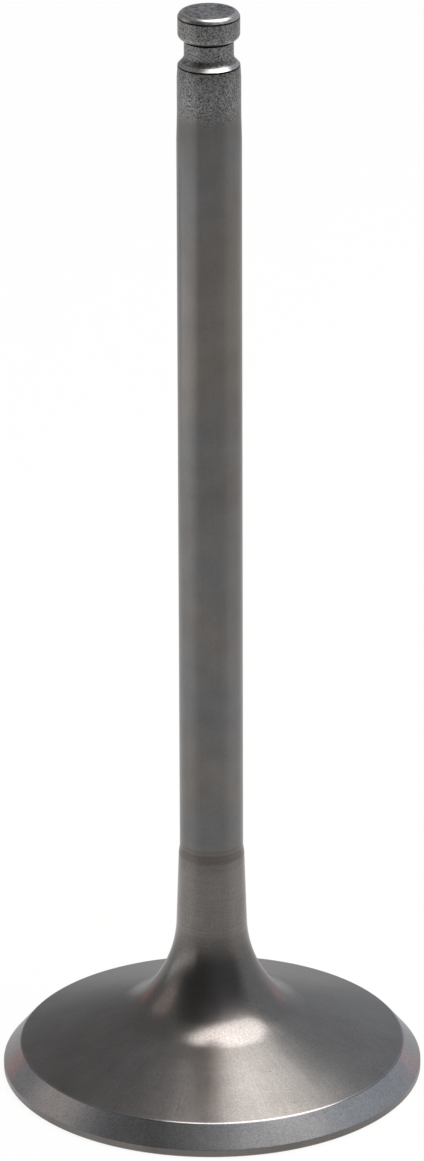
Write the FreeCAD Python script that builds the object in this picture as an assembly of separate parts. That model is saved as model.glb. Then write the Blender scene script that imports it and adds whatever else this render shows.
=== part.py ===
import FreeCAD, Part
import math
import os

# Poppet valve, turned and ground as one solid of revolution about +Z.
# Lengths are in millimetres, angles in degrees. The origin is the centre of the combustion face.
overall_length = 105.46

# Head: a flat combustion face, a thin margin, the seat band and the conical back.
head_diameter = 39.75
margin_height = 0.76
face_edge_break = 0.15
seat_width = 1.66
seat_angle = 50.0
back_angle = 19.0

# Neck: a slow taper that sweeps out into the back of the head in two tangent arcs.
tulip_radius = 11.84
tulip_turn = 42.0
back_blend_radius = 6.5
neck_taper = 1.95
neck_top_height = 22.26
neck_step = 0.111
neck_step_height = 0.79

# Stem: the ground length that runs in the guide.
stem_diameter = 5.97

# Tip: a land ground slightly under the stem size, the keeper groove and the bead above it.
# Lengths run down from the tip face, and depths run in from the surface of the stem.
tip_land_length = 9.62
tip_land_relief = 0.061
tip_land_run_out = 2.57
shoulder_lead = 1.18
shoulder_relief = 0.14
shoulder_angle = 45.0
groove_width = 2.42
groove_depth = 0.715
groove_flare_radius = 0.89
bead_height = 2.57
bead_relief = 0.142
bead_corner_radius = 0.54
tip_chamfer_width = 0.25
tip_chamfer_height = 0.42

head_radius = head_diameter / 2
stem_radius = stem_diameter / 2
axis_start = FreeCAD.Vector(0, 0, 0)
axis_direction = FreeCAD.Vector(0, 0, 1)
shortest_edge = 1e-6


class HalfSection:
    """The outline of a turned piece on one side of its axis, drawn from point to point."""

    def __init__(self, radius, height):
        self.start = FreeCAD.Vector(radius, 0, height)
        self.point = self.start
        self.edges = []

    def line_to(self, radius, height):
        """Draw a straight edge, unless the outline is already there."""
        end = FreeCAD.Vector(radius, 0, height)
        if self.point.distanceToPoint(end) > shortest_edge:
            self.edges.append(Part.LineSegment(self.point, end).toShape())
            self.point = end

    def turn(self, centre, radius, start_angle, end_angle):
        """Draw an arc about a centre (radius, height), between two angles above the +X direction."""
        middle_angle = (start_angle + end_angle) / 2
        start, middle, end = [
            FreeCAD.Vector(
                centre[0] + radius * math.cos(angle),
                0,
                centre[1] + radius * math.sin(angle),
            )
            for angle in (start_angle, middle_angle, end_angle)
        ]
        self.line_to(start.x, start.z)
        self.edges.append(Part.Arc(self.point, middle, end).toShape())
        self.point = end

    def revolve(self):
        """Close the outline along the axis and turn it into a solid."""
        self.line_to(self.start.x, self.start.z)
        face = Part.Face(Part.Wire(self.edges))
        return face.revolve(axis_start, axis_direction, 360)


def draw_head(section):
    """Combustion face, broken edge, margin and seat band. Returns the seat's inner edge."""
    seat_inner_radius = head_radius - seat_width
    seat_inner_height = margin_height + seat_width * math.tan(math.radians(seat_angle))
    section.line_to(head_radius - face_edge_break, 0)
    section.line_to(head_radius, face_edge_break)
    section.line_to(head_radius, margin_height)
    section.line_to(seat_inner_radius, seat_inner_height)
    return seat_inner_radius, seat_inner_height


def draw_neck(section, cone_foot):
    """Conical back, the two blended arcs of the tulip and the tapered neck with its top step."""
    back = math.radians(back_angle)
    taper = math.radians(neck_taper)
    turn = math.radians(tulip_turn)
    foot_radius, foot_height = cone_foot
    neck_top_radius = stem_radius + neck_step

    # The reach of both arcs together, from the end of the neck's taper to the top of the cone.
    reach = tulip_radius * (math.cos(taper) - math.cos(turn))
    reach += back_blend_radius * (math.cos(turn) - math.sin(back))
    drop = tulip_radius * (math.sin(turn) - math.sin(taper))
    drop += back_blend_radius * (math.cos(back) - math.sin(turn))

    # The height at which the arcs leave the taper so that they also meet the cone.
    foot_gap = foot_radius - neck_top_radius - neck_top_height * math.tan(taper) - reach
    neck_foot_height = foot_height + foot_gap * math.tan(back) + drop
    neck_foot_height /= 1 - math.tan(taper) * math.tan(back)
    neck_foot_radius = neck_top_radius + (neck_top_height - neck_foot_height) * math.tan(taper)

    tulip_centre = (
        neck_foot_radius + tulip_radius * math.cos(taper),
        neck_foot_height + tulip_radius * math.sin(taper),
    )
    blend_shift = back_blend_radius - tulip_radius
    blend_centre = (
        tulip_centre[0] + blend_shift * math.cos(turn),
        tulip_centre[1] + blend_shift * math.sin(turn),
    )
    cone_normal = math.pi * 3 / 2 - back
    section.turn(blend_centre, back_blend_radius, cone_normal, math.pi + turn)
    section.turn(tulip_centre, tulip_radius, math.pi + turn, math.pi + taper)
    section.line_to(neck_top_radius, neck_top_height)
    section.line_to(stem_radius, neck_top_height + neck_step_height)


def draw_stem(section):
    """The ground stem and the run-out on to the tip land."""
    land_foot = overall_length - tip_land_length
    section.line_to(stem_radius, land_foot - tip_land_run_out)
    section.line_to(stem_radius - tip_land_relief, land_foot)


def draw_tip(section):
    """Tip land, shoulder, flared keeper groove and the bead with its chamfered face."""
    land_radius = stem_radius - tip_land_relief
    shoulder_radius = stem_radius - shoulder_relief
    root_radius = stem_radius - groove_depth
    bead_radius = stem_radius - bead_relief
    bead_foot = overall_length - bead_height
    shoulder_height = bead_foot - groove_width
    flare = math.radians(shoulder_angle)

    section.line_to(land_radius, shoulder_height - shoulder_lead)
    section.line_to(shoulder_radius, shoulder_height)

    # The flare leaves the shoulder as a cone and rounds into the root of the groove.
    arc_reach = groove_flare_radius * (1 - math.cos(flare))
    cone_rise = (shoulder_radius - root_radius - arc_reach) / math.tan(flare)
    flare_top = shoulder_height + cone_rise + groove_flare_radius * math.sin(flare)
    flare_centre = (root_radius + groove_flare_radius, flare_top)
    section.turn(flare_centre, groove_flare_radius, math.pi + flare, math.pi)

    # The bead's underside is a wall across the groove, rounded up into the bead.
    corner = min(bead_corner_radius, bead_radius - root_radius)
    section.line_to(root_radius, bead_foot)
    section.turn((bead_radius - corner, bead_foot + corner), corner, -math.pi / 2, 0)
    section.line_to(bead_radius, overall_length - tip_chamfer_height)
    section.line_to(bead_radius - tip_chamfer_width, overall_length)
    section.line_to(0, overall_length)


def make_valve():
    """The whole valve as one solid."""
    section = HalfSection(0, 0)
    cone_foot = draw_head(section)
    draw_neck(section, cone_foot)
    draw_stem(section)
    draw_tip(section)
    return section.revolve()


def main():
    os.makedirs("parts", exist_ok=True)
    valve = make_valve()
    valve.exportStep("parts/valve.step")
    print("valve", valve.ShapeType, "valid", valve.isValid(), "volume mm3", round(valve.Volume, 2))


main()
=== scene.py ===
import math

import bmesh
import bpy
from bpy.props import FloatProperty, FloatVectorProperty, IntProperty, PointerProperty
from mathutils import Matrix, Vector


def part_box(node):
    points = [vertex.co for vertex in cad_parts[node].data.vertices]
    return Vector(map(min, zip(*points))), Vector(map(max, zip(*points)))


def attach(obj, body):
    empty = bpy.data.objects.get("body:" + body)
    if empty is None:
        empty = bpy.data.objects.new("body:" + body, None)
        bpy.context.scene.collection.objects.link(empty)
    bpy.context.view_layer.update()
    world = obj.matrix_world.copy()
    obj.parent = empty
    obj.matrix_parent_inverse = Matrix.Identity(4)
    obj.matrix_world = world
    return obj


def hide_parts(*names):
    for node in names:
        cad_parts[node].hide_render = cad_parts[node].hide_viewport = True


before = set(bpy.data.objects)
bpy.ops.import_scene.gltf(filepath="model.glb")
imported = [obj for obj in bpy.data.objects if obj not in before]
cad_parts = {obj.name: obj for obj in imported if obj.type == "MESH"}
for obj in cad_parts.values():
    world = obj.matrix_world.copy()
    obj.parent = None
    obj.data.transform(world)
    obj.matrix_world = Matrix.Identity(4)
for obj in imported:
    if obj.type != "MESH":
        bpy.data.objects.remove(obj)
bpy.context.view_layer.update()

bl_info = {
    "name": "Engine Valve",
    "version": (1, 0, 0),
    "blender": (4, 5, 0),
    "location": "View3D > Sidebar > Valve",
    "description": "Builds the finished poppet valve and the studio around it",
    "category": "Object",
}

# Lengths are in metres, as in the frame. MM turns a size given in millimetres into metres.
MM = 0.001
_, VALVE_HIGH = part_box("valve")
HEAD_RADIUS = VALVE_HIGH.x
OVERALL_LENGTH = VALVE_HIGH.z

# The photograph's height in pixels. Blender's sensor width, in millimetres, lies along the longer side.
PHOTO_HEIGHT = 1161
SENSOR_WIDTH = 36.0

# Extra loops this far beside a rounded edge keep the flat next to it flat in smooth shading.
SUPPORT = 0.03 * MM

# Steps in the arc of a rounded edge.
ROUND_STEPS = 5

# Points closer than this are one point, and edges sharper than this angle stay sharp.
MERGE_DISTANCE = 0.0005 * MM
SHARP_ANGLE = math.radians(30)

# A zone of the steel that ends on a level face ends this much above or below it, so that rounding can't
# put the face in the wrong zone.
ZONE_ROOM = 0.003 * MM

# The combustion face stands this much clear of the floor.
FLOOR_GAP = 0.02 * MM

# The camera sees nothing nearer or farther than these distances.
CLIP_START = 50 * MM
CLIP_END = 50000 * MM

# Spacing of the lines that the lathe and the grinding wheel leave, and how far one fades in and out. Real
# ones are a few hundredths of a millimetre apart, and a pixel of the photograph is about 0.1 mm. Those of
# the face, the head with its neck, and the tinted rings are drawn as coarse as they need to show. Elsewhere
# no lines show in the photograph, so the fine ones stay too fine to show and only break up the gloss.
FACE_LINES = 0.2 * MM
HEAD_LINES = 0.15 * MM
RING_LINES = 0.4 * MM
FINE_LINES = 0.06 * MM
LINE_RUN = 6 * MM

# Depth of those lines: on the face, the margin and the tip, on the seat band, and everywhere else.
COARSE_DEPTH = 0.001 * MM
SEAT_DEPTH = 0.0001 * MM
FINE_DEPTH = 0.0002 * MM

# Grain of the steel. Real grain is finer, and this is as coarse as it needs to show. The tip face is seen
# at a slant, so its grain is coarser still.
GRAIN = 0.16 * MM
TIP_FACE_GRAIN = 0.32 * MM

# Patches that are a little lighter or darker: their width, and how much they change the tone.
SMALL_PATCH = 2.5 * MM
SMALL_PATCH_CHANGE = 0.06
LARGE_PATCH = 9 * MM
LARGE_PATCH_CHANGE = 0.08

# Faint streaks along the profile: how many to the radian, their length, and how much they change the tone.
STREAKS = 70.0
STREAK_RUN = 9 * MM
STREAK_CHANGE = 0.04

# Pits lie where a noise of this size rises from the first value to the second.
PIT_SIZE = 0.3 * MM
PIT_EDGE = (0.73, 0.76)

# Brownish blotches turn to bluish ones where a noise of this size rises from the first value to the second.
BLOTCH_SIZE = 11 * MM
BLOTCH_EDGE = (0.4, 0.6)

# Most of a noise lies between these two values.
NOISE_RANGE = (0.3, 0.7)

# How much the lines change the roughness, and how far they stretch the gloss across them. The quarter turn
# lays the stretch along the profile.
ROUGHNESS_CHANGE = 0.06
GLOSS_STRETCH = 0.3
QUARTER_TURN = 0.25


def linear(hex_colour):
    """An sRGB hex colour as linear red, green, blue and alpha."""
    channels = [int(hex_colour[i:i + 2], 16) / 255 for i in (1, 3, 5)]
    return [c / 12.92 if c <= 0.04045 else ((c + 0.055) / 1.055) ** 2.4 for c in channels] + [1.0]


def length(name, description, millimetres):
    """A length property with its default in millimetres."""
    return FloatProperty(
        name=name, description=description, default=millimetres * MM, min=0.0, unit="LENGTH", precision=6
    )


def angle(name, description, degrees):
    """An angle property with its default in degrees."""
    return FloatProperty(name=name, description=description, default=math.radians(degrees), subtype="ANGLE")


def colour(name, description, hex_colour):
    """A colour property with its default as an sRGB hex value."""
    return FloatVectorProperty(
        name=name,
        description=description,
        default=linear(hex_colour),
        size=4,
        min=0.0,
        max=1.0,
        subtype="COLOR",
    )


def amount(name, description, value):
    """A plain number property."""
    return FloatProperty(name=name, description=description, default=value, min=0.0)


class ValveSizes(bpy.types.PropertyGroup):
    """Sizes of the turned outline, from the combustion face up to the tip."""

    face_edge: length("Face Edge", "Broken edge round the combustion face", 0.15)
    margin: length("Margin", "Height from the combustion face to the seat band", 0.76)
    margin_round: length("Margin Round", "Rounding between the margin and the seat band", 0.06)
    seat_width: length("Seat Width", "Width of the seat band, measured across the axis", 1.66)
    seat_angle: angle("Seat Angle", "Slope of the seat band", 50.0)
    seat_round: length("Seat Round", "Rounding between the seat band and the back of the head", 0.45)
    back_angle: angle("Back Angle", "Slope of the cone behind the seat band", 19.0)
    blend_radius: length("Blend Radius", "Arc that leaves the cone", 6.5)
    tulip_radius: length("Tulip Radius", "Arc that sweeps up into the neck", 11.84)
    tulip_turn: angle("Tulip Turn", "Slope, from upright, at which the two arcs meet", 42.0)
    neck_taper: angle("Neck Taper", "Half angle of the tapered neck", 1.95)
    neck_top: length("Neck Top", "Height at which the taper ends", 22.26)
    neck_step: length("Neck Step", "How far the neck stands out from the stem", 0.111)
    head_finish_top: length("Head Finish Top", "Height up to which the head keeps its own tone", 8.5)
    neck_finish_foot: length("Neck Finish Foot", "Height from which the neck has its own tone", 15.0)
    ring_height: length("Ring Height", "Height of the tinted ring between neck and stem", 0.79)
    tint_gap: length("Tint Gap", "Height of the plain line above the tinted ring", 0.19)
    upper_tint: length("Upper Tint", "Height of the thin tinted ring above that line", 0.31)
    stem_radius: length("Stem Radius", "Radius of the ground stem", 2.985)
    land_length: length("Land Length", "Length of the tip land, keeper groove and bead", 9.62)
    land_relief: length("Land Relief", "How far the land lies under the stem surface", 0.061)
    land_run_out: length("Land Run-out", "Length over which the stem runs down to the land", 2.57)
    hard_fade: length("Hard Fade", "How far the tip's grain fades to each side of the land's foot", 1.2)
    shoulder_lead: length("Shoulder Lead", "Length of the lead below the groove", 1.18)
    shoulder_relief: length("Shoulder Relief", "How far the groove's lower edge lies under the stem", 0.14)
    shoulder_angle: angle("Shoulder Angle", "Slope of the groove's lower flank, from upright", 45.0)
    shoulder_round: length("Shoulder Round", "Rounding of the groove's lower edge", 0.12)
    groove_width: length("Groove Width", "Width of the keeper groove", 2.42)
    groove_depth: length("Groove Depth", "Depth of the groove below the stem surface", 0.715)
    groove_flare: length("Groove Flare", "Arc from the lower flank into the root", 0.89)
    bead_height: length("Bead Height", "Height of the bead above the groove", 2.57)
    bead_relief: length("Bead Relief", "How far the bead lies under the stem surface", 0.142)
    bead_corner: length("Bead Corner", "Rounding under the bead", 0.54)
    chamfer_width: length("Tip Chamfer Width", "Chamfer of the tip face, measured across", 0.25)
    chamfer_height: length("Tip Chamfer Height", "Chamfer of the tip face, measured along", 0.42)
    chamfer_round: length("Tip Chamfer Round", "Rounding of the chamfer's foot", 0.08)
    tip_round: length("Tip Round", "Rounding between the chamfer and the tip face", 0.45)
    # Painted shade: the width of the dark lines below the tip's edges.
    edge_line: length("Edge Line", "Width of the dark line below the worn edges of the tip", 0.14)
    # Painted highlight: the height of the lighter band above the groove's lower edge.
    highlight_flank: length("Highlight Flank", "Height of the burnished band above the groove's lower edge", 0.286)
    groove_shade: length("Groove Shade", "Height of the dark band in the groove, under the bead", 0.21)
    steps: IntProperty(name="Steps", description="Faces round the axis", default=240, min=24, max=480)


class ValveFinish(bpy.types.PropertyGroup):
    """Colours of the steel in its differently worked zones, and of its painted highlight and painted shade.
    """

    head: colour("Head", "Turned back of the head", "#7f7d7b")
    neck: colour("Neck", "Neck above the sweep of the tulip", "#827f7c")
    face: colour("Combustion Face", "Turned combustion face", "#6e6c69")
    seat: colour("Seat", "Ground seat band", "#a7aaac")
    burnish: colour("Burnished Edge", "Edge between the seat band and the back of the head", "#8c8d8f")
    margin: colour("Margin", "Margin round the head", "#8d8986")
    ring: colour("Ring", "Heat tint between the neck and the stem", "#78726f")
    stem: colour("Stem", "Ground stem", "#7b7977")
    tip: colour("Tip", "Hardened tip", "#838484")
    # Painted highlight: a much lighter tone on the tip's chamfer and the groove's lower flank, for the
    # crescents of light on them.
    tip_highlight: colour("Tip Highlight", "Burnished chamfer and shoulder of the tip", "#b4b4b4")
    warm: colour("Warm Blotches", "Tint of the brownish blotches", "#fff8f1")
    cool: colour("Cool Blotches", "Tint of the bluish blotches", "#f6faff")
    # Painted shade: a nearly black tone for thin lines below the chamfer and the shoulder of the tip and in
    # the groove under the bead.
    shade_line: colour("Painted Shade", "Dark line below the worn edges of the tip", "#101010")


class StageSettings(bpy.types.PropertyGroup):
    """The camera, the lamps and the floor."""

    camera_distance: length("Camera Distance", "From the valve's axis to the camera, along the floor", 641.55)
    camera_height: length("Camera Height", "Height of the camera above the floor", 315.395)
    camera_yaw: angle("Camera Yaw", "How far the camera looks to the right", 0.0115)
    camera_pitch: angle("Camera Pitch", "How far the camera looks down", 22.4794)
    camera_roll: angle("Camera Roll", "Turn of the camera about its line of sight", -0.1862)
    focal_pixels: amount("Focal Length", "Focal length in pixels of the photograph", 7469.69)
    floor_size: length("Floor Size", "Side of the square floor", 8000.0)
    floor: colour("Floor", "Pale floor", "#f2f2f2")
    floor_glow: amount("Floor Glow", "Share of white in the floor as the camera and the steel see it", 0.92)
    # Painted shade on the floor as the steel mirrors it: its brightness at a glancing angle and before the
    # valve.
    floor_slant: amount("Floor Slant", "Brightness of the floor mirrored at a glancing angle", 0.5)
    floor_front: amount("Floor Front", "Brightness of the mirrored floor before the valve", 0.79)
    room_left: colour("Left Wall", "Light from the room behind the valve on its left", "#959597")
    room_right: colour("Right Wall", "Light from the room behind the valve on its right", "#b9bdc4")
    room_dark: amount("Dark Side", "Share of that light on the side where the camera stands", 0.3)


# The soft round lamps: name, place, size across and along in millimetres, brightness, where 1 is that of a
# white surface, and colour. All of them face the foot of the valve. The two cards are reddish lamps, low
# behind the valve on both sides. The far ends of the seat band and the sweep beside the neck mirror them.
SOFTBOXES = (
    ("key_softbox", (206.0, -5.0, 800.0), (705.0, 870.0), 4.3, "#fff7f3"),
    ("back_softbox", (128.0, 430.0, 800.0), (390.0, 330.0), 1.6, "#fff9f0"),
    ("halo_softbox", (330.0, 320.0, 820.0), (500.0, 600.0), 0.35, "#ffffff"),
    ("front_softbox", (336.0, -304.0, 656.0), (500.0, 350.0), 0.18, "#f4f8ff"),
    ("left_softbox", (-650.0, 120.0, 330.0), (480.0, 300.0), 0.38, "#ffe6d8"),
    ("left_card", (-450.0, 600.0, 75.0), (160.0, 130.0), 0.55, "#e0583a"),
    ("right_card", (450.0, 600.0, 75.0), (160.0, 130.0), 0.55, "#e0583a"),
)

# Low lamps on the floor beside the valve: name, place, length and height in millimetres, and brightness.
STRIPS = (("left_strip", (-170.0, -40.0, 13.0), (260.0, 24.0), 0.9),)

# The mirrored floor carries a painted shade: it dims towards a glancing angle between the first two values,
# where 1 is a ray along the floor, and towards the camera between the second two, where -1 is straight
# towards it.
SLANT_RANGE = (0.5, 0.8)
FRONT_RANGE = (-0.2, -0.8)

# The left wall turns to the right one between the first two directions, where 1 is straight to the right.
# The dark side turns to the walls between the second two, where 1 is straight back.
WALL_RANGE = (-0.3, 0.3)
DARK_RANGE = (-0.5, 0.05)


class Outline:
    """The valve's half section: a chain of edges in the XZ plane, from the face to the tip.

    Long lines are drawn in pieces and arcs in steps, and every piece and step becomes a row of faces."""

    def __init__(self, radius, height):
        self.mesh = bmesh.new()
        self.end = self.mesh.verts.new((radius, 0.0, height))

    @property
    def place(self):
        """The end of the chain as (radius, height)."""
        return Vector((self.end.co.x, self.end.co.z))

    def line(self, radius, height, pieces=1):
        """Extrude the end of the chain to a point, in equal pieces."""
        start = self.place
        for piece in range(1, pieces + 1):
            point = start.lerp(Vector((radius, height)), piece / pieces)
            self.end = bmesh.ops.extrude_vert_indiv(self.mesh, verts=[self.end])["verts"][0]
            self.end.co = (point.x, 0.0, point.y)

    def arc(self, centre, turn, steps):
        """Spin the end of the chain about a centre (radius, height).

        A positive turn is clockwise, with X to the right and Z up."""
        spun = bmesh.ops.spin(
            self.mesh,
            geom=[self.end],
            cent=(centre[0], 0.0, centre[1]),
            axis=(0.0, 1.0, 0.0),
            angle=turn,
            steps=steps,
        )
        self.end = spun["geom_last"][0]

    def rounded(self, corner, after, radius, pieces=1):
        """Run to a corner and round it towards the point after it, with a support loop on both sides."""
        corner = Vector(corner)
        arrive = (corner - self.place).normalized()
        leave = (Vector(after) - corner).normalized()
        turn = arrive.angle_signed(leave)
        setback = radius * math.tan(abs(turn) / 2)
        inward = Vector((arrive.y, -arrive.x)) * math.copysign(radius, turn)
        start = corner - arrive * setback
        self.line(*(start - arrive * SUPPORT), pieces)
        self.line(*start)
        self.arc(start + inward, turn, ROUND_STEPS)
        self.line(*(corner + leave * (setback + SUPPORT)))


def draw_head(outline, sizes):
    """Combustion face, broken edge, margin and seat band, up to the rounding into the back."""
    seat_foot = (HEAD_RADIUS, sizes.margin)
    seat_rise = sizes.seat_width * math.tan(sizes.seat_angle)
    seat_top = (HEAD_RADIUS - sizes.seat_width, sizes.margin + seat_rise)
    back_way = (seat_top[0] - math.cos(sizes.back_angle), seat_top[1] + math.sin(sizes.back_angle))
    edge_foot = (HEAD_RADIUS - sizes.face_edge, 0.0)
    edge_top = (HEAD_RADIUS, sizes.face_edge)
    outline.rounded(edge_foot, edge_top, sizes.margin_round, pieces=12)
    outline.rounded(edge_top, seat_foot, sizes.margin_round)
    outline.rounded(seat_foot, seat_top, sizes.margin_round)
    outline.rounded(seat_top, back_way, sizes.seat_round, pieces=3)
    return seat_top


def draw_neck(outline, sizes, seat_top):
    """Conical back, the two arcs of the tulip, the tapered neck and the step of the tinted ring."""
    back = sizes.back_angle
    taper = sizes.neck_taper
    turn = sizes.tulip_turn
    neck_radius = sizes.stem_radius + sizes.neck_step

    # The reach of both arcs together, from the foot of the taper to the top of the cone.
    reach = sizes.tulip_radius * (math.cos(taper) - math.cos(turn))
    reach += sizes.blend_radius * (math.cos(turn) - math.sin(back))
    drop = sizes.tulip_radius * (math.sin(turn) - math.sin(taper))
    drop += sizes.blend_radius * (math.cos(back) - math.sin(turn))

    # The height at which the arcs leave the taper so that they also meet the cone.
    gap = seat_top[0] - neck_radius - sizes.neck_top * math.tan(taper) - reach
    foot_height = seat_top[1] + gap * math.tan(back) + drop
    foot_height /= 1 - math.tan(taper) * math.tan(back)
    foot_radius = neck_radius + (sizes.neck_top - foot_height) * math.tan(taper)

    tulip_centre = Vector((foot_radius, foot_height))
    tulip_centre += Vector((math.cos(taper), math.sin(taper))) * sizes.tulip_radius
    meeting_way = Vector((math.cos(turn), math.sin(turn)))
    blend_centre = tulip_centre - meeting_way * (sizes.tulip_radius - sizes.blend_radius)
    cone_top = blend_centre - Vector((math.sin(back), math.cos(back))) * sizes.blend_radius
    outline.line(*cone_top, pieces=10)
    outline.arc(blend_centre, math.pi / 2 - back - turn, steps=24)
    outline.arc(tulip_centre, turn - taper, steps=30)
    outline.line(neck_radius, sizes.neck_top, pieces=5)
    outline.line(sizes.stem_radius, sizes.neck_top + sizes.ring_height)


def draw_stem(outline, sizes):
    """The ground stem and the run-out on to the tip land.

    The first two points only bound the thin tinted ring."""
    land_foot = OVERALL_LENGTH - sizes.land_length
    gap_top = sizes.neck_top + sizes.ring_height + sizes.tint_gap
    outline.line(sizes.stem_radius, gap_top)
    outline.line(sizes.stem_radius, gap_top + sizes.upper_tint)
    outline.line(sizes.stem_radius, land_foot - sizes.land_run_out, pieces=30)
    outline.line(sizes.stem_radius - sizes.land_relief, land_foot, pieces=2)


def draw_tip(outline, sizes):
    """Tip land, shoulder, flared keeper groove and the bead with its chamfered face."""
    land_radius = sizes.stem_radius - sizes.land_relief
    root_radius = sizes.stem_radius - sizes.groove_depth
    bead_radius = sizes.stem_radius - sizes.bead_relief
    bead_foot = OVERALL_LENGTH - sizes.bead_height
    shoulder = (sizes.stem_radius - sizes.shoulder_relief, bead_foot - sizes.groove_width)

    # The flare leaves the shoulder as a cone and rounds into the root of the groove.
    flare = sizes.shoulder_angle
    cone_reach = shoulder[0] - root_radius - sizes.groove_flare * (1 - math.cos(flare))
    cone_top = (shoulder[0] - cone_reach, shoulder[1] + cone_reach / math.tan(flare))
    flare_top = cone_top[1] + sizes.groove_flare * math.sin(flare)
    outline.line(land_radius, shoulder[1] - sizes.shoulder_lead, pieces=2)
    # The line of painted shade below the shoulder starts here.
    shade_line_foot = outline.place.lerp(Vector(shoulder), 1 - sizes.edge_line / sizes.shoulder_lead)
    outline.line(*shade_line_foot)
    outline.rounded(shoulder, cone_top, sizes.shoulder_round)
    outline.line(*cone_top)
    outline.arc((root_radius + sizes.groove_flare, flare_top), flare, steps=8)
    outline.line(root_radius, bead_foot - sizes.groove_shade, pieces=2)
    outline.line(root_radius, bead_foot)

    # The bead's underside is a wall across the groove, rounded up into the bead.
    corner = min(sizes.bead_corner, bead_radius - root_radius)
    outline.line(bead_radius - corner, bead_foot)
    outline.arc((bead_radius - corner, bead_foot + corner), -math.pi / 2, steps=12)
    chamfer_foot = (bead_radius, OVERALL_LENGTH - sizes.chamfer_height)
    chamfer_top = (bead_radius - sizes.chamfer_width, OVERALL_LENGTH)
    outline.line(bead_radius, chamfer_foot[1] - sizes.edge_line, pieces=2)
    outline.rounded(chamfer_foot, chamfer_top, sizes.chamfer_round)
    outline.rounded(chamfer_top, (0.0, OVERALL_LENGTH), sizes.tip_round)
    outline.line(0.0, OVERALL_LENGTH, pieces=3)


def add(tree, kind, inputs=None, **settings):
    """Add a node, set its properties, and fill or wire its inputs."""
    node = tree.nodes.new("ShaderNode" + kind)
    for name, value in settings.items():
        setattr(node, name, value)
    for socket, value in (inputs or {}).items():
        if isinstance(value, bpy.types.NodeSocket):
            tree.links.new(value, node.inputs[socket])
        else:
            node.inputs[socket].default_value = value
    return node


def new_material(name):
    """An empty node material and its tree."""
    material = bpy.data.materials.new(name)
    material.use_nodes = True
    material.node_tree.nodes.clear()
    return material, material.node_tree


def from_axis(tree):
    """Where a point of the valve lies: its place, its height, and the way out to it from the axis."""
    place = add(tree, "TexCoord").outputs["Object"]
    axes = add(tree, "SeparateXYZ", {0: place}).outputs
    out = add(tree, "CombineXYZ", {0: axes[0], 1: axes[1]}).outputs[0]
    return place, axes[2], out


def drawn_out(tree, place, fine, frequency, run, detail):
    """A noise that changes fast with one value, at a frequency, and slowly with the place, over a run."""
    fast = add(tree, "VectorMath", {0: fine, "Scale": frequency}, operation="SCALE").outputs[0]
    slow = add(tree, "VectorMath", {0: place, "Scale": 1 / run}, operation="SCALE").outputs[0]
    both = add(tree, "VectorMath", {0: fast, 1: slow}, operation="ADD").outputs[0]
    return add(tree, "TexNoise", {"Vector": both, "Scale": 1.0, "Detail": detail}).outputs["Fac"]


def lathe_lines(tree, spacing, run):
    """Fine lines round the axis, one spacing apart, that fade in and out along a run."""
    place, height, out = from_axis(tree)
    radius = add(tree, "VectorMath", {0: out}, operation="LENGTH").outputs["Value"]
    rings = add(tree, "CombineXYZ", {0: radius, 2: height}).outputs[0]
    return drawn_out(tree, place, rings, 1 / spacing, run, detail=3.0)


def along_profile(tree, streaks, run):
    """Fine streaks that run from the neck out to the rim, so many to the radian."""
    place, _, out = from_axis(tree)
    way = add(tree, "VectorMath", {0: out}, operation="NORMALIZE").outputs[0]
    return drawn_out(tree, place, way, streaks, run, detail=2.0)


def grain(tree, size):
    """Even grain of one size."""
    place = add(tree, "TexCoord").outputs["Object"]
    return add(tree, "TexNoise", {"Vector": place, "Scale": 1 / size, "Detail": 2.0}).outputs["Fac"]


def fade(tree, low, high):
    """A factor that rises smoothly from 0 to 1 between two heights."""
    place = add(tree, "TexCoord").outputs["Object"]
    height = add(tree, "SeparateXYZ", {0: place}).outputs[2]
    return add(tree, "MapRange", {0: height, 1: low, 2: high}, interpolation_type="SMOOTHSTEP").outputs[0]


def shaded(tree, level, pattern, change, share=1.0):
    """Multiply a level by a pattern that varies it by a change up and down, where the share is 1."""
    low, high = NOISE_RANGE
    ends = {0: pattern, 1: low, 2: high, 3: -change, 4: change}
    wave = add(tree, "MapRange", ends, clamp=False).outputs[0]
    wave = add(tree, "Math", {0: wave, 1: share}, operation="MULTIPLY").outputs[0]
    factor = add(tree, "Math", {0: wave, 1: 1.0}, operation="ADD").outputs[0]
    return add(tree, "Math", {0: level, 1: factor}, operation="MULTIPLY").outputs[0]


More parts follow.
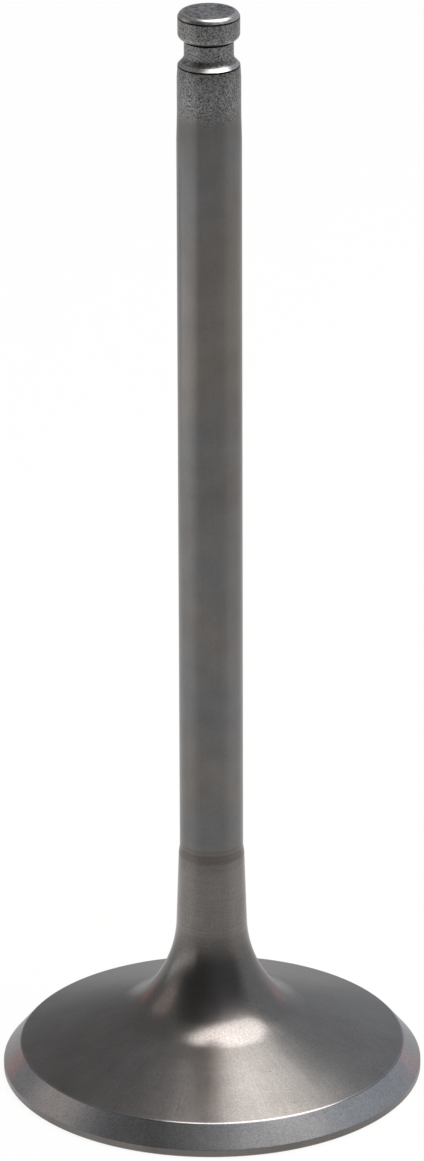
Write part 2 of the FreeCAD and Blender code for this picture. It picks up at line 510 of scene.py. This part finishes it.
def steel(
    name,
    finish,
    tone,
    roughness,
    lines=FINE_LINES,
    depth=FINE_DEPTH,
    rings=0.02,
    grains=0.05,
    grain_size=GRAIN,
    pits=0.0,
    blotches=0.15,
    blend=None,
    fading="",
):
    """Steel with turning or grinding lines, a mottled tone, fine grain, streaks and sparse pits.

    Rings, grains, pits and blotches say how much the lines, the grain, the pits and the blotches change the
    colour. A blend is another tone and the two heights between which the steel changes to it. Fading names
    what comes in with that tone: the rings or the grains."""
    material, tree = new_material(name)
    share = 1.0
    shade = tone[:3]
    if blend:
        other, low, high = blend
        share = fade(tree, low, high)
        shade = add(tree, "Mix", {0: share, 6: tone, 7: other}, data_type="RGBA").outputs[2]
    ring_share = share if fading == "rings" else 1.0
    grain_share = share if fading == "grains" else 1.0
    marks = lathe_lines(tree, lines, LINE_RUN)
    level = shaded(tree, 1.0, grain(tree, SMALL_PATCH), SMALL_PATCH_CHANGE)
    level = shaded(tree, level, grain(tree, LARGE_PATCH), LARGE_PATCH_CHANGE)
    level = shaded(tree, level, grain(tree, grain_size), grains, grain_share)
    level = shaded(tree, level, along_profile(tree, STREAKS, STREAK_RUN), STREAK_CHANGE)
    level = shaded(tree, level, marks, rings, ring_share)
    if pits:
        low, high = PIT_EDGE
        spots = {0: grain(tree, PIT_SIZE), 1: low, 2: high, 3: 1.0, 4: 1 - pits}
        spots = add(tree, "MapRange", spots).outputs[0]
        level = add(tree, "Math", {0: level, 1: spots}, operation="MULTIPLY").outputs[0]
    low, high = BLOTCH_EDGE
    blotch = {0: grain(tree, BLOTCH_SIZE), 1: low, 2: high, 3: 0.5 - blotches / 2, 4: 0.5 + blotches / 2}
    blotch = add(tree, "MapRange", blotch).outputs[0]
    tint = add(tree, "Mix", {0: blotch, 6: finish.warm, 7: finish.cool}, data_type="RGBA").outputs[2]
    toned = add(tree, "VectorMath", {0: shade, "Scale": level}, operation="SCALE").outputs[0]
    toned = add(tree, "VectorMath", {0: toned, 1: tint}, operation="MULTIPLY").outputs[0]
    rough = shaded(tree, roughness, marks, ROUGHNESS_CHANGE)
    bump = add(tree, "Bump", {"Height": marks, "Distance": depth, "Strength": 1.0}).outputs[0]
    tangent = add(tree, "Tangent", direction_type="RADIAL", axis="Z").outputs[0]
    shader = add(
        tree,
        "BsdfPrincipled",
        {
            "Base Color": toned,
            "Metallic": 1.0,
            "Roughness": rough,
            "Normal": bump,
            "Tangent": tangent,
            "Anisotropic": GLOSS_STRETCH,
            "Anisotropic Rotation": QUARTER_TURN,
        },
    )
    add(tree, "OutputMaterial", {"Surface": shader.outputs[0]})
    return material


def head_steels(finish, sizes):
    """The steels of the face, margin, seat band, rounded edge, and head with neck, from the face up."""

    # Turned steel, satin and dark, with rings round its centre.
    face = steel(
        "turned_steel_face", finish, finish.face, roughness=0.3, lines=FACE_LINES, depth=COARSE_DEPTH
    )

    # Turned steel left as it was cut: the dullest band of the head.
    margin = steel("turned_steel_margin", finish, finish.margin, roughness=0.4, depth=COARSE_DEPTH)

    # Ground steel: the lightest band of the head, bluish, with fine grain and no lines in its colour.
    seat = steel(
        "ground_steel_seat", finish, finish.seat, roughness=0.29, depth=SEAT_DEPTH, rings=0.0, grains=0.2
    )

    # Steel burnished where the seat band rolls over: smoother, so its reflections are crisper.
    burnish = steel("burnished_steel_edge", finish, finish.burnish, roughness=0.2)

    # Finely turned steel, warm and satin, with small dark pits. Its lines darken and lighten the neck only.
    head = steel(
        "fine_turned_steel_head",
        finish,
        finish.head,
        roughness=0.25,
        lines=HEAD_LINES,
        rings=0.07,
        grains=0.12,
        pits=0.5,
        blend=(finish.neck, sizes.head_finish_top, sizes.neck_finish_foot),
        fading="rings",
    )
    return face, margin, seat, burnish, head


def stem_steels(finish):
    """The steels of the tinted rings and of the stem."""

    # Turned steel tinted by heat: brown rings, darker than the neck and the stem.
    ring = steel(
        "heat_tinted_steel_ring", finish, finish.ring, roughness=0.33, lines=RING_LINES, rings=0.06
    )

    # Ground steel: satin and even, with wide brownish and bluish blotches.
    stem = steel("ground_steel_stem", finish, finish.stem, roughness=0.3, blotches=0.75)
    return ring, stem


def tip_steels(finish, low, high):
    """The steels of the tip, its end face, the painted highlight on its edges and the lines of painted shade
    below them and under the bead.

    The tip turns from the stem's steel to its own between two heights."""

    # Hardened steel, a little duller than the stem: a neutral grey with strong light and dark grain.
    tip = steel(
        "hardened_steel_tip",
        finish,
        finish.stem,
        roughness=0.33,
        depth=COARSE_DEPTH,
        grains=0.7,
        blend=(finish.tip, low, high),
        fading="grains",
    )

    # The same steel on the end face, with its grain drawn twice as coarse.
    end = steel(
        "hardened_steel_tip_face",
        finish,
        finish.tip,
        roughness=0.33,
        depth=COARSE_DEPTH,
        grains=0.7,
        grain_size=TIP_FACE_GRAIN,
    )

    # Painted highlight: hardened steel in a much lighter tone on the chamfer and the groove's lower flank,
    # with crisper reflections.
    highlight = steel("painted_highlight_tip", finish, finish.tip_highlight, roughness=0.28, grains=0.3)

    # Steel stained by old oil, dull and nearly black.
    # Painted shade: dull, nearly black steel in thin lines below the edges of the tip and in the groove under
    # the bead.
    shade_line = steel("painted_shade_line", finish, finish.shade_line, roughness=0.45, grains=0.3)
    return tip, end, highlight, shade_line


def valve_materials(finish, sizes):
    """The zones of the valve from the face up: the height at which each ends, and its material."""
    seat_top = sizes.margin + sizes.seat_width * math.tan(sizes.seat_angle)
    setback = sizes.seat_round * math.tan((sizes.seat_angle - sizes.back_angle) / 2)
    ring_top = sizes.neck_top + sizes.ring_height
    gap_top = ring_top + sizes.tint_gap
    land_foot = OVERALL_LENGTH - sizes.land_length
    bead_foot = OVERALL_LENGTH - sizes.bead_height
    shoulder = bead_foot - sizes.groove_width
    chamfer_foot = OVERALL_LENGTH - sizes.chamfer_height
    face, margin, seat, burnish, head = head_steels(finish, sizes)
    ring, stem = stem_steels(finish)
    tip, end, highlight, shade_line = tip_steels(finish, land_foot - sizes.hard_fade, land_foot + sizes.hard_fade)
    return [
        (sizes.face_edge / 2, face),
        (sizes.margin, margin),
        (seat_top - setback * math.sin(sizes.seat_angle), seat),
        (seat_top + setback * math.sin(sizes.back_angle), burnish),
        (sizes.neck_top, head),
        (ring_top, ring),
        (gap_top, stem),
        (gap_top + sizes.upper_tint, ring),
        (land_foot - sizes.land_run_out, stem),
        # Lines of painted shade lie below the shoulder, in the groove under the bead and below the chamfer.
        # The band above the shoulder and the chamfer take the painted highlight.
        (shoulder - sizes.edge_line, tip),
        (shoulder, shade_line),
        (shoulder + sizes.highlight_flank, highlight),
        (bead_foot - sizes.groove_shade, tip),
        (bead_foot + ZONE_ROOM, shade_line),
        (chamfer_foot - sizes.edge_line, tip),
        (chamfer_foot, shade_line),
        (OVERALL_LENGTH - ZONE_ROOM, highlight),
        (OVERALL_LENGTH + ZONE_ROOM, end),
    ]


def build_valve(sizes, finish):
    """Turn the outline round the axis into the finished valve."""
    outline = Outline(0.0, 0.0)
    seat_top = draw_head(outline, sizes)
    draw_neck(outline, sizes, seat_top)
    draw_stem(outline, sizes)
    draw_tip(outline, sizes)
    body = outline.mesh
    bmesh.ops.spin(
        body,
        geom=body.verts[:] + body.edges[:],
        cent=(0.0, 0.0, 0.0),
        axis=(0.0, 0.0, 1.0),
        angle=2 * math.pi,
        steps=sizes.steps,
        use_merge=True,
    )
    bmesh.ops.remove_doubles(body, verts=body.verts, dist=MERGE_DISTANCE)
    bmesh.ops.recalc_face_normals(body, faces=body.faces)
    zones = valve_materials(finish, sizes)
    for face in body.faces:
        height = face.calc_center_median().z
        face.material_index = next(i for i, (top, _) in enumerate(zones) if height < top)
        face.smooth = True
    mesh = bpy.data.meshes.new("finished_valve")
    for _, material in zones:
        mesh.materials.append(material)
    body.to_mesh(mesh)
    body.free()
    mesh.set_sharp_from_angle(angle=SHARP_ANGLE)
    valve = bpy.data.objects.new("finished_valve", mesh)
    bpy.context.scene.collection.objects.link(valve)
    return valve


class VALVE_OT_body(bpy.types.Operator):
    """Build the finished valve in place of the plain one"""

    bl_idname = "valve.body"
    bl_label = "Build Valve"

    def execute(self, context):
        valve = build_valve(context.scene.valve_sizes, context.scene.valve_finish)
        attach(valve, "root")
        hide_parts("valve")
        return {"FINISHED"}


def mirrored_loss(tree, settings):
    """The painted shade of the mirrored floor: how much dimmer it is at a glancing angle and before the
    valve.
    """
    slant = add(tree, "LayerWeight", {"Blend": 0.5}).outputs["Facing"]
    low, high = SLANT_RANGE
    slant = {0: slant, 1: low, 2: high, 4: 1 - settings.floor_slant}
    slant = add(tree, "MapRange", slant, interpolation_type="SMOOTHSTEP").outputs[0]
    place = add(tree, "TexCoord").outputs["Object"]
    way = add(tree, "VectorMath", {0: place}, operation="NORMALIZE").outputs[0]
    depth = add(tree, "SeparateXYZ", {0: way}).outputs[1]
    low, high = FRONT_RANGE
    front = {0: depth, 1: low, 2: high, 4: 1 - settings.floor_front}
    front = add(tree, "MapRange", front, interpolation_type="SMOOTHSTEP").outputs[0]
    return add(tree, "Math", {0: slant, 1: front}, operation="ADD").outputs[0]


def floor_material(settings):
    """Matt white paper, lit so evenly that its grain is lost.

    The camera sees it nearly pure white, and only its faint shadow comes from the lamps. The steel sees it
    white too, but with a painted shade towards a glancing angle and before the valve."""
    material, tree = new_material("pale_paper_floor")
    paint = add(tree, "BsdfDiffuse", {"Color": settings.floor}).outputs[0]
    path = add(tree, "LightPath").outputs
    mirrored = path["Is Glossy Ray"]
    loss = mirrored_loss(tree, settings)
    loss = add(tree, "Math", {0: loss, 1: mirrored}, operation="MULTIPLY").outputs[0]
    strength = add(tree, "Math", {0: 1.0, 1: loss}, operation="SUBTRACT").outputs[0]
    white = add(tree, "Emission", {"Strength": strength}).outputs[0]
    seen = add(tree, "Math", {0: path["Is Camera Ray"], 1: mirrored}, operation="MAXIMUM").outputs[0]
    seen = add(tree, "Math", {0: seen, 1: path["Is Transmission Ray"]}, operation="MAXIMUM").outputs[0]
    share = add(tree, "Math", {0: seen, 1: settings.floor_glow}, operation="MULTIPLY").outputs[0]
    surface = add(tree, "MixShader", {0: share, 1: paint, 2: white}).outputs[0]
    add(tree, "OutputMaterial", {"Surface": surface})
    return material


def make_floor(settings):
    """A plain pale floor just under the combustion face."""
    shape = bmesh.new()
    bmesh.ops.create_grid(shape, x_segments=1, y_segments=1, size=settings.floor_size / 2)
    bmesh.ops.translate(shape, verts=shape.verts, vec=(0.0, 0.0, -FLOOR_GAP))
    mesh = bpy.data.meshes.new("floor")
    shape.to_mesh(mesh)
    shape.free()
    mesh.materials.append(floor_material(settings))
    floor = bpy.data.objects.new("floor", mesh)
    bpy.context.scene.collection.objects.link(floor)


def make_world(settings):
    """A room that is brighter on the right and dark where the camera stands."""
    world = bpy.data.worlds.new("room")
    world.use_nodes = True
    tree = world.node_tree
    tree.nodes.clear()
    way = add(tree, "TexCoord").outputs["Generated"]
    across, depth, _ = add(tree, "SeparateXYZ", {0: way}).outputs
    low, high = WALL_RANGE
    side = add(tree, "MapRange", {0: across, 1: low, 2: high}).outputs[0]
    shade = {0: side, 6: settings.room_left, 7: settings.room_right}
    shade = add(tree, "Mix", shade, data_type="RGBA").outputs[2]
    low, high = DARK_RANGE
    back = {0: depth, 1: low, 2: high, 3: settings.room_dark}
    back = add(tree, "MapRange", back, interpolation_type="SMOOTHSTEP").outputs[0]
    background = add(tree, "Background", {"Color": shade, "Strength": back})
    add(tree, "OutputWorld", {"Surface": background.outputs[0]})
    bpy.context.scene.world = world


def make_lamp(name, shape, place, back, size, level):
    """An area lamp at a place, with its back towards a direction. At a level of 1 it looks white."""
    lamp = bpy.data.lights.new(name, "AREA")
    lamp.shape = shape
    lamp.size = size[0] * MM
    lamp.size_y = size[1] * MM
    lamp.energy = level * math.pi * lamp.size * lamp.size_y

    # An ellipse has this share of the area of the rectangle round it.
    if shape == "ELLIPSE":
        lamp.energy *= math.pi / 4
    stand = bpy.data.objects.new(name, lamp)
    stand.matrix_world = Matrix.Translation(place) @ back.to_track_quat("Z", "Y").to_matrix().to_4x4()
    bpy.context.scene.collection.objects.link(stand)
    return stand


def make_softbox(name, place, size, level, tint):
    """A soft lamp that faces the foot of the valve."""
    place = Vector(place) * MM
    softbox = make_lamp(name, "ELLIPSE", place, place, size, level)
    softbox.data.color = linear(tint)[:3]


def make_strip(name, place, size, level):
    """A low lamp that stands on the floor beside the valve and shines straight across it."""
    place = Vector(place) * MM
    strip = make_lamp(name, "RECTANGLE", place, Vector((place.x, 0.0, 0.0)), size, level)
    strip.visible_camera = False


def make_camera(settings):
    """The camera of the photograph."""
    lens = bpy.data.cameras.new("camera")
    lens.sensor_width = SENSOR_WIDTH
    lens.lens = settings.focal_pixels * SENSOR_WIDTH / PHOTO_HEIGHT
    lens.clip_start = CLIP_START
    lens.clip_end = CLIP_END
    camera = bpy.data.objects.new("camera", lens)
    camera.matrix_world = (
        Matrix.Translation((0.0, -settings.camera_distance, settings.camera_height))
        @ Matrix.Rotation(-settings.camera_yaw, 4, "Z")
        @ Matrix.Rotation(math.pi / 2 - settings.camera_pitch, 4, "X")
        @ Matrix.Rotation(settings.camera_roll, 4, "Z")
    )
    bpy.context.scene.collection.objects.link(camera)
    bpy.context.scene.camera = camera


class VALVE_OT_stage(bpy.types.Operator):
    """Set up the floor, the light and the camera"""

    bl_idname = "valve.stage"
    bl_label = "Set Up Stage"

    def execute(self, context):
        settings = context.scene.valve_stage
        make_floor(settings)
        make_world(settings)
        for softbox in SOFTBOXES:
            make_softbox(*softbox)
        for strip in STRIPS:
            make_strip(*strip)
        make_camera(settings)
        context.scene.view_settings.view_transform = "Standard"
        return {"FINISHED"}


class VALVE_PT_panel(bpy.types.Panel):
    """Lists the valve's operators and settings"""

    bl_idname = "VALVE_PT_panel"
    bl_label = "Engine Valve"
    bl_space_type = "VIEW_3D"
    bl_region_type = "UI"
    bl_category = "Valve"

    def draw(self, context):
        for operator in OPERATORS:
            self.layout.operator(operator.bl_idname)
        for group in (context.scene.valve_sizes, context.scene.valve_finish, context.scene.valve_stage):
            box = self.layout.box()
            for name in group.__annotations__:
                box.prop(group, name)


OPERATORS = (VALVE_OT_body, VALVE_OT_stage)
CLASSES = (ValveSizes, ValveFinish, StageSettings) + OPERATORS + (VALVE_PT_panel,)


def register():
    for cls in CLASSES:
        bpy.utils.register_class(cls)
    bpy.types.Scene.valve_sizes = PointerProperty(type=ValveSizes)
    bpy.types.Scene.valve_finish = PointerProperty(type=ValveFinish)
    bpy.types.Scene.valve_stage = PointerProperty(type=StageSettings)


def unregister():
    del bpy.types.Scene.valve_stage
    del bpy.types.Scene.valve_finish
    del bpy.types.Scene.valve_sizes
    for cls in reversed(CLASSES):
        bpy.utils.unregister_class(cls)


def main():
    register()
    bpy.ops.valve.body()
    bpy.ops.valve.stage()


if __name__ == "__main__":
    main()
